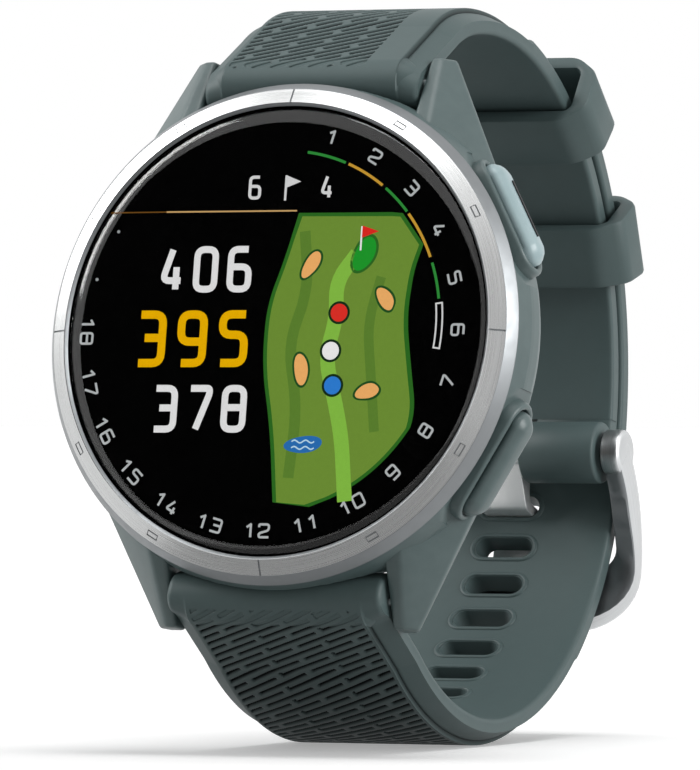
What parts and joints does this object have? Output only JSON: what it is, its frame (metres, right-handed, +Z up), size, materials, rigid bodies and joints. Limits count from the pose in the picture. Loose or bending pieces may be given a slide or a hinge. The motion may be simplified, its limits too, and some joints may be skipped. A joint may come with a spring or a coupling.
{
  "type": "golf gps watch",
  "caption": "Golf GPS wristwatch with round colour display, steel bezel, side buttons and a closed quick-release silicone strap with buckle.",
  "frame": {"origin": "on the ground under the middle of the whole watch, which stands on its closed strap", "axes": "+X towards the side with the buttons, +Y from the face back through the wrist opening, +Z up, with the face leaning 9.7 degrees back"},
  "size_m": [0.0448, 0.061, 0.0647],
  "materials": {
    "slate_plastic": "satin",
    "blue_plastic": "satin",
    "strap_silicone": "matte",
    "brushed_steel": "satin",
    "bright_steel": "polished",
    "dark_glass": "gloss",
    "black_rubber": "matte",
    "black_plastic": "matte",
    "display": "gloss",
    "copper_film": "satin",
    "board_laminate": "satin",
    "tinned_steel": "satin",
    "battery_foil": "satin",
    "gold_contact": "polished",
    "tungsten": "satin",
    "dark_plastic": "matte"
  },
  "bodies": {
    "watch": {"case_body": "slate_plastic", "bezel": "brushed_steel", "lens": "dark_glass", "lens_gasket": "black_rubber", "dial_ring": "black_plastic", "display_panel": "display", "display_flex": "copper_film", "chassis": "dark_plastic", "gps_antenna": "gold_contact", "main_board": "board_laminate", "shield_can": "tinned_steel", "battery": "battery_foil", "battery_tray": "dark_plastic", "motor_case": "tinned_steel", "back_cover": "dark_plastic", "back_gasket": "black_rubber", "back_screws": "tinned_steel", "contact_block": "black_plastic", "contact_pins": "gold_contact", "upper_button_spring": "bright_steel", "upper_switch": "black_plastic", "lower_button_spring": "bright_steel", "lower_switch": "black_plastic", "upper_bar": "bright_steel", "upper_bar_spring": "bright_steel", "lower_bar": "bright_steel", "lower_bar_spring": "bright_steel", "strap_upper": "strap_silicone", "strap_lower": "strap_silicone", "buckle_bar": "bright_steel"},
    "upper_button": {"upper_button_cap": "blue_plastic", "upper_button_stem": "bright_steel", "upper_button_seal": "black_rubber", "upper_button_clip": "bright_steel"},
    "lower_button": {"lower_button_cap": "slate_plastic", "lower_button_stem": "bright_steel", "lower_button_seal": "black_rubber", "lower_button_clip": "bright_steel"},
    "upper_keeper": {"keeper_upper": "strap_silicone"},
    "lower_keeper": {"keeper_lower": "strap_silicone"},
    "buckle": {"buckle_frame": "brushed_steel"},
    "tongue": {"buckle_tongue": "brushed_steel"},
    "upper_release": {"upper_release_pin": "bright_steel"},
    "lower_release": {"lower_release_pin": "bright_steel"},
    "rotor": {"motor_rotor": "tungsten"}
  },
  "joints": [
    {"name": "upper_button_press", "type": "slide", "parent": "watch", "child": "upper_button", "axis": [-0.8746, -0.0817, -0.4779], "range_m": [0, 0.0005], "stiffness_N_per_m": 900, "springref_m": -0.0003, "deforming": ["upper_button_spring"]},
    {"name": "lower_button_press", "type": "slide", "parent": "watch", "child": "lower_button", "axis": [-0.8746, 0.0817, 0.4779], "range_m": [0, 0.0005], "stiffness_N_per_m": 900, "springref_m": -0.0003, "deforming": ["lower_button_spring"]},
    {"name": "upper_keeper_slide", "type": "hinge", "parent": "watch", "child": "upper_keeper", "pos_m": [0, -0.00313, 0.03334], "axis": [1, 0, 0], "range_deg": [-7, 18]},
    {"name": "lower_keeper_slide", "type": "hinge", "parent": "watch", "child": "lower_keeper", "pos_m": [0, -0.00313, 0.03334], "axis": [1, 0, 0], "range_deg": [-14, 7]},
    {"name": "tongue_hinge", "type": "hinge", "parent": "watch", "child": "tongue", "pos_m": [0, 0.02366, 0.02556], "axis": [1, 0, 0], "range_deg": [0, 7]},
    {"name": "buckle_hinge", "type": "hinge", "parent": "watch", "child": "buckle", "pos_m": [0, 0.02366, 0.02556], "axis": [1, 0, 0], "range_deg": [0, 7]},
    {"name": "upper_release_slide", "type": "slide", "parent": "watch", "child": "upper_release", "axis": [-1, 0, 0], "range_m": [0, 0.0012], "stiffness_N_per_m": 400, "springref_m": -0.0005, "deforming": ["upper_bar_spring"]},
    {"name": "lower_release_slide", "type": "slide", "parent": "watch", "child": "lower_release", "axis": [-1, 0, 0], "range_m": [0, 0.0012], "stiffness_N_per_m": 400, "springref_m": -0.0005, "deforming": ["lower_bar_spring"]},
    {"name": "rotor_spin", "type": "hinge", "parent": "watch", "child": "rotor", "pos_m": [0, -0.01758, 0.04616], "axis": [1, 0, 0], "continuous": true}
  ],
  "couplings": [
    {"joint": "buckle_hinge", "follows": "tongue_hinge", "ratio": 1}
  ]
}
